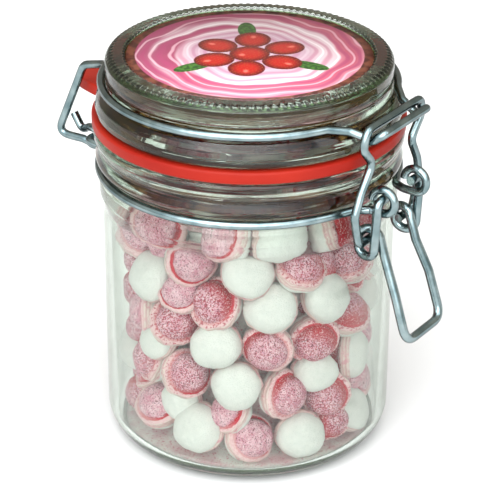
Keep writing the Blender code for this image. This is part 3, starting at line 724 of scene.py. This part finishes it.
LID_LOW = GASKET_LOW + GASKET_THICK + GAP
LID_FLANGE_R = 41.5
LID_TOP_R = 38.65
LID_TOP = 112.0
COLLAR_R = 33.7
COLLAR_LOW = 93.0
PLATE_LOW = 106.6
RECESS_R = 33.3
RECESS_DEPTH = 1.4
LID_RING_R = 39.75
LID_RING_Z = 104.3
KNURL_TEETH = 112                      # round the bevel, between these two heights
KNURL_LOW = 111.3
KNURL_HIGH = 111.97
KNURL_DEPTH = 0.3
STEPS_PER_TOOTH = 6
LID_TINT_PAINTED_REFLECTION_AND_SHADE_BANDS = (                          # from the ring up to the knurled bevel, in the same terms: painted reflections in browns, red and pink, then the bevel's thick green darkened by painted shade
    (95.9, 98.2, 0.50, "5A2014"), (100.5, 103.0, 0.56, "5A300C"), (105.6, 108.2, 0.50, "B86A74"),
    (108.4, 110.2, 0.42, "6A5A48"), (110.2, 111.45, 1.0, "40602E"), (111.45, 111.9, 1.0, "0E160A"))

lid_groove_r = LID_RING_R - WIRE_D / 2 - GAP
lid_outside = [(0.0, LID_TOP - RECESS_DEPTH), (RECESS_R, LID_TOP - RECESS_DEPTH)]
lid_outside += [(RECESS_R + 0.2, LID_TOP), (36.0, LID_TOP)]
lid_outside += [(36.5, 111.95), (37.0, 111.75), (37.6, 111.4), (38.0, 111.1), (38.4, 110.7)]
lid_outside += [(LID_TOP_R, 110.2), (LID_TOP_R, 106.2), (lid_groove_r, 105.6), (lid_groove_r, 102.8)]
lid_outside += [(39.6, 102.4), (41.0, 100.4), (LID_FLANGE_R, 98.4), (LID_FLANGE_R, LID_LOW + 0.8)]
lid_outside += [(LID_FLANGE_R - 0.6, LID_LOW), (COLLAR_R + 0.4, LID_LOW)]
lid_inside = [(COLLAR_R, LID_LOW - 0.6), (COLLAR_R - 0.4, COLLAR_LOW + 0.3), (COLLAR_R - 1.2, COLLAR_LOW)]
lid_inside += [(COLLAR_R - 2.4, COLLAR_LOW + 0.8), (COLLAR_R - 2.8, PLATE_LOW - 2.4)]
lid_inside += [(COLLAR_R - 5.0, PLATE_LOW - 0.2), (0.0, PLATE_LOW)]
lid = turned("lid_glass", bend(lid_outside + lid_inside, 0.9, 5, math.radians(14.0)),
             glass_finish("pressed lid glass", 12.0, 0.010, "A8AE9E", 97.0, LID_TINT_PAINTED_REFLECTION_AND_SHADE_BANDS),
             KNURL_TEETH * STEPS_PER_TOOTH, KNURL_TEETH, KNURL_DEPTH, KNURL_LOW, KNURL_HIGH)
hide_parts("lid")
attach(lid, "jar_body")

# ---------------------------------------------------------------- printed disc
# Laminated printed card in the lid's recess. Its print is a plain design: a brown-red edge, a swirl of
# pink and white cream, and a rosette of round berries with small leaves.

LABEL_R = 33.0
LABEL_LOW = LID_TOP - RECESS_DEPTH + GAP
GLUE_LOW = LID_TOP - RECESS_DEPTH - 0.05     # its glue wets the glass, so that no air gap shows
LABEL_THICK = 0.3
PIPS = 0.95                                  # to the millimetre


def print_finish():
    """Laminated offset print, with a satin shine. The swirl's ribbons are a few millimetres wide, and as
    soft as cream. Its patterns are sized in waves to the millimetre, so that 0.9 makes flecks of 1.1 mm."""
    finish, tree = new_finish("laminated print", {"Roughness": 0.42})
    at = add_node(tree, "TexCoord").outputs["Object"]
    flat = add_node(tree, "VectorMath", {0: at, 1: (1000.0, 1000.0, 0.0)}, operation="MULTIPLY")
    across = add_node(tree, "SeparateXYZ", {"Vector": flat}).outputs
    radius = add_node(tree, "VectorMath", {0: flat}, operation="LENGTH")
    angle = add_node(tree, "Math", {0: across["Y"], 1: across["X"]}, operation="ARCTAN2")
    noise = {}
    for use, scale, detail in (("swirl", 0.07, 1.0), ("ridge", 0.06, 0.0), ("shade", 0.12, 2.0),
                               ("leaf", 0.9, 2.0), ("rim", 0.35, 3.0)):
        noise[use] = add_node(tree, "TexNoise", {"Vector": flat, "Scale": scale, "Detail": detail})
    spiral = add_node(tree, "Math", {0: radius, 1: 0.55}, operation="MULTIPLY")
    spiral = add_node(tree, "Math", {0: spiral, 1: angle}, operation="SUBTRACT")
    spiral = add_node(tree, "Math", {0: noise["swirl"], 1: 3.0, 2: spiral}, operation="MULTIPLY_ADD")
    ribbon = add_node(tree, "Math", {0: spiral}, operation="SINE")
    ribbon = add_node(tree, "MapRange", {"Value": ribbon, "From Min": -0.9, "From Max": 0.9},
                      interpolation_type="SMOOTHSTEP")
    ridge = add_node(tree, "Math", {0: noise["ridge"], 1: 7.0}, operation="MULTIPLY")
    ridge = add_node(tree, "Math", {0: spiral, 1: 3.0, 2: ridge}, operation="MULTIPLY_ADD")
    ridge = add_node(tree, "Math", {0: ridge}, operation="SINE")
    shade = add_node(tree, "VectorMath", {0: flat, 1: (-0.1, 0.9, 0.0)}, operation="DOT_PRODUCT")
    shade = add_node(tree, "Math", {0: noise["shade"], 1: 26.0, 2: shade}, operation="MULTIPLY_ADD")
    middle = add_node(tree, "Math", {0: ribbon, 1: -7.0, 2: radius}, operation="MULTIPLY_ADD")
    pink = add_node(tree, "Mix", {0: ribbon, 6: "BC5A70", 7: "D68E9C"}, data_type="RGBA")
    pink = stained(tree, pink, "983C60", shade, 6.0, 32.0, 0.85)
    pink = stained(tree, pink, "A8426A", ridge, 0.1, 1.0, 0.7)
    pink = stained(tree, pink, "F3C6D0", ridge, -0.7, -1.0, 0.55)
    white = stained(tree, "DABFC5", "BE7C92", ridge, 0.1, 1.0, 0.75)
    white = stained(tree, white, "F4ECEC", ridge, -0.7, -1.0, 0.6)
    colour = stained(tree, pink, white, middle, 20.5, 17.5)
    # Painted shadow of the rosette: mauve laid over the swirl towards the middle, from 20 mm in to 14.5 mm.
    colour = stained(tree, colour, "A87A94", radius, 20.0, 14.5, 0.55)

    def petal(count, turn, away, long, wide):
        """0 in the middle of each of count ovals set round the disc, and 1 at its edge."""
        part = 2 * math.pi / count
        folded = add_node(tree, "Math", {0: angle, 1: turn}, operation="ADD")
        folded = add_node(tree, "Math", {0: folded, 1: part}, operation="FLOORED_MODULO")
        folded = add_node(tree, "Math", {0: folded, 1: part / 2}, operation="SUBTRACT")
        sides = []
        for kind, centre, half in (("COSINE", away, long), ("SINE", 0.0, wide)):
            side = add_node(tree, "Math", {0: folded}, operation=kind)
            side = add_node(tree, "Math", {0: side, 1: radius}, operation="MULTIPLY")
            side = add_node(tree, "Math", {0: side, 1: centre}, operation="SUBTRACT")
            sides.append(add_node(tree, "Math", {0: side, 1: half}, operation="DIVIDE"))
        oval = add_node(tree, "CombineXYZ", {"X": sides[0], "Y": sides[1]})
        return add_node(tree, "VectorMath", {0: oval}, operation="LENGTH")

    green = stained(tree, "1F4316", "44702A", noise["leaf"], 0.4, 0.6)
    colour = stained(tree, colour, green, petal(3, 0.4, 17.6, 6.0, 2.6), 1.0, 0.92)
    pips = add_node(tree, "TexVoronoi", {"Vector": flat, "Scale": PIPS, "Randomness": 0.45},
                    voronoi_dimensions="2D").outputs["Distance"]
    for oval, shine in ((petal(6, 0.0, 10.4, 5.7, 5.1), petal(6, 0.0, 12.4, 1.5, 1.0)),
                        (petal(1, 0.0, 0.0, 5.6, 5.6), petal(1, 0.6, 2.2, 1.2, 1.2))):
        # Each berry is painted darker towards its edge, painted shade that makes it look round, with pale
        # pips and a painted highlight, its shine.
        red = stained(tree, "AC120C", "520405", oval, 0.35, 1.0)
        red = stained(tree, red, "B0602C", pips, 0.17, 0.10)
        red = stained(tree, red, "E87C6C", shine, 1.0, 0.3, 0.6)
        colour = stained(tree, colour, red, oval, 1.0, 0.93)
    rim = stained(tree, "4A2018", "7A4432", noise["rim"], 0.4, 0.62)
    colour = stained(tree, colour, rim, radius, 30.4, 30.7)
    normal = add_node(tree, "NewGeometry").outputs["Normal"]
    upward = add_node(tree, "SeparateXYZ", {"Vector": normal}).outputs["Z"]
    colour = stained(tree, "B57C42", colour, upward, 0.4, 0.6)
    tree.links.new(colour, tree.nodes["Principled BSDF"].inputs["Base Color"])
    return finish


label = turned("printed_disc", [(0.0, GLUE_LOW), (LABEL_R, GLUE_LOW), (LABEL_R, LABEL_LOW + LABEL_THICK),
                                (0.0, LABEL_LOW + LABEL_THICK)], print_finish(), 96)
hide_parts("label")
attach(label, "jar_body")

# ---------------------------------------------------------------- neck wire
# Bright zinc-plated steel wire, 2.3 mm, sprung round the neck. Each front end is rolled into an eye
# for the lever, and at the back it runs straight as the hinge's bar.

BEND_R = 2.2
EYE_OUT = 47.7
EYE_Z = 83.8
EYE_R = 3.3
EYE_HALF = 8.0
HINGE_OUT = 43.9
HINGE_Z = 80.5
PIN_HALF = 15.5
ZINC_CLOUD = 4.545
DRAW_MARK = 1.111              # coarser than real marks, so that they show


def mirrored(half):
    """The whole path of a wire from the half at +X that starts in the middle plane."""
    return [Vector((-p[0], p[1], p[2])) for p in reversed(half[1:])] + [Vector(p) for p in half]


def front(out, across, height):
    """A point of the clasp, by its distance out from the axis, across, and height."""
    return Vector((across, -out, height))


def back(out, across, height):
    """A point of the hinge, in the same terms."""
    return Vector((across, out, height))


def ring(radius, height, start, end):
    """Points on a level ring between two angles in radians, counted from +X."""
    count = round(abs(end - start) / math.radians(2.5))
    angles = [start + (end - start) * i / count for i in range(count + 1)]
    return [Vector((radius * math.cos(a), radius * math.sin(a), height)) for a in angles]


def wire(name, path, diameter, body):
    """A round plated wire with cut ends along a path in millimetres, which stands for its CAD node."""
    curve = bpy.data.curves.new(name, "CURVE")
    curve.dimensions = "3D"
    curve.bevel_depth = diameter / 2 * MM
    curve.bevel_resolution = 6
    curve.use_fill_caps = True
    spline = curve.splines.new("POLY")
    spline.points.add(len(path) - 1)
    for point, place in zip(spline.points, path):
        point.co = (*(place * MM), 1.0)
    curve.materials.append(PLATING)
    made = bpy.data.objects.new(name + "_steel", curve)
    bpy.context.scene.collection.objects.link(made)
    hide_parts(name)
    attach(made, body)


# Blue-grey and clouded, with painted shade on its sides where it turns away, and fine marks from drawing the
# wire.
PLATING, tree = new_finish("bright zinc plating", {"Metallic": 1.0})
at = add_node(tree, "TexCoord").outputs["Object"]
cloud = add_node(tree, "TexNoise", {"Vector": at, "Scale": 1000.0 / ZINC_CLOUD, "Detail": 3.0})
share = add_node(tree, "MapRange", {"Value": cloud, "From Min": 0.3, "From Max": 0.7})
tone = add_node(tree, "Mix", {0: share, 6: "6C8286", 7: "9EAEB0"}, data_type="RGBA")
turned_away = add_node(tree, "LayerWeight", {"Blend": 0.5}).outputs["Facing"]
# Painted shade on the wire's sides, where they turn away from the eye.
tone = stained(tree, tone, "1C3034", turned_away, 0.25, 0.9)
marks = add_node(tree, "TexNoise", {"Vector": at, "Scale": 1000.0 / DRAW_MARK, "Detail": 2.0})
dress(tree, tone, marks, 0.2, 0.00008)
haze = add_node(tree, "MapRange", {"Value": cloud, "To Min": 0.10, "To Max": 0.26})
tree.links.new(haze.outputs[0], tree.nodes["Principled BSDF"].inputs["Roughness"])

bar = [back(HINGE_OUT, 0, HINGE_Z), back(HINGE_OUT, PIN_HALF, HINGE_Z)]
bar += [back(38.3, PIN_HALF + 0.6, NECK_RING_Z)]
around = ring(NECK_RING_R, NECK_RING_Z, math.acos(19.0 / NECK_RING_R), -math.acos(15.5 / NECK_RING_R))
lead = [front(40.7, 10.0, 80.3), front(44.0, EYE_HALF + 0.2, EYE_Z - EYE_R)]
eye = [front(out, EYE_HALF, z) for out, z in arc((EYE_OUT, EYE_Z), EYE_R, -90, 178, 30)]
wire("neck_wire", mirrored(bend(bar + around + lead + eye, BEND_R)), WIRE_D, "jar_body")

# ---------------------------------------------------------------- lid wire
# The same wire round the lid. In front it is bent out into the catch, and at the back its two arms
# drop behind the pull tab and coil once round the hinge's bar, with short cut ends.

CATCH_OUT = 48.9
CATCH_Z = 104.0
CATCH_HALF = 11.3
COIL_R = 2.55
COIL_HALF = 12.6
ARM_BEND_R = 3.6

catch = [front(CATCH_OUT, 0, CATCH_Z), front(CATCH_OUT, CATCH_HALF, CATCH_Z)]
catch += [front(45.3, CATCH_HALF, 101.1), front(42.8, CATCH_HALF + 0.6, 102.4)]
catch += [front(39.9, CATCH_HALF + 1.6, 103.3)]
around = ring(LID_RING_R, LID_RING_Z, -math.acos(17.5 / LID_RING_R), math.acos(17.0 / LID_RING_R))
arm = [back(38.8, COIL_HALF + 1.4, LID_RING_Z - 0.5), back(45.9, COIL_HALF + 1.0, 101.9)]
arm += [back(56.7, COIL_HALF + 0.2, 78.7), back(47.6, COIL_HALF, 78.9)]
coil = [back(out, COIL_HALF, z) for out, z in arc((HINGE_OUT, HINGE_Z), COIL_R, -50, -260, 24)]
tail = [back(46.6, COIL_HALF - 1.4, 82.3), back(49.9, COIL_HALF - 2.5, 80.2)]
tail += [back(52.8, COIL_HALF - 2.5, 84.8)]
half = bend(catch + around, BEND_R) + bend(arm, ARM_BEND_R) + bend(coil + tail, BEND_R)
wire("lid_wire", mirrored(half), WIRE_D, "jar_body")

# ---------------------------------------------------------------- link
# Flat wire loop that pulls the catch down: its top bar lies over the catch, it is pinched at the lip,
# and its two feet turn inward through the lever's loops.

FOOT_OUT = 43.9
FOOT_Z = 72.3
LINK_TOP_OUT = 45.3
LINK_TOP_Z = 105.0
LINK_TOP_HALF = 13.4
LINK_BEND_R = 3.2

half = [front(LINK_TOP_OUT, 0, LINK_TOP_Z), front(LINK_TOP_OUT, LINK_TOP_HALF, LINK_TOP_Z)]
half += [front(44.9, 14.5, 100.0), front(44.9, 9.5, 94.6), front(44.5, 14.0, 87.6)]
half += [front(44.1, 16.2, 81.5), front(FOOT_OUT, 14.6, 76.0)]
half += [front(FOOT_OUT, 13.4, FOOT_Z), front(FOOT_OUT, 6.4, FOOT_Z)]
wire("link", mirrored(bend(half, LINK_BEND_R)), WIRE_D, "link_body")

# ---------------------------------------------------------------- lever
# Handle of 2.5 mm wire. Its two arms loop once round the link's feet, cross outward and hook into the
# neck wire's eyes, so that pressing it down throws the link over centre.

LEVER_D = 2.5
PIVOT_OUT = 47.6
PIVOT_Z = 84.4
LOOP_OUT = 44.05
LOOP_R = 2.85
LOOP_LOW = 70.8
LOOP_HIGH = 72.4
LOOP_HALF = 10.7
HANDLE_HALF = 7.7
HANDLE_END_HALF = 9.0
HANDLE_BEND_R = 4.0
HANDLE_OUT = 56.8
HANDLE_Z = 45.5

handle = [front(HANDLE_OUT, 0, HANDLE_Z), front(HANDLE_OUT, HANDLE_END_HALF, HANDLE_Z)]
handle += [front(52.6, HANDLE_END_HALF - 0.3, 58.5), front(48.8, HANDLE_HALF, 67.0)]
turns_round = arc((LOOP_OUT, LOOP_HIGH), LOOP_R, 15, 180, 18)
turns_round += arc((LOOP_OUT, LOOP_LOW), LOOP_R, 180, 360, 18)[1:]
loop = []
for i, (out, z) in enumerate(turns_round):
    loop.append(front(out, HANDLE_HALF + (LOOP_HALF - HANDLE_HALF) * i / (len(turns_round) - 1), z))
hook = [front(PIVOT_OUT, LOOP_HALF, PIVOT_Z), front(PIVOT_OUT, EYE_HALF - 2.4, PIVOT_Z)]
wire("lever", mirrored(bend(handle, HANDLE_BEND_R) + bend(loop + hook, BEND_R)), LEVER_D, "lever_body")
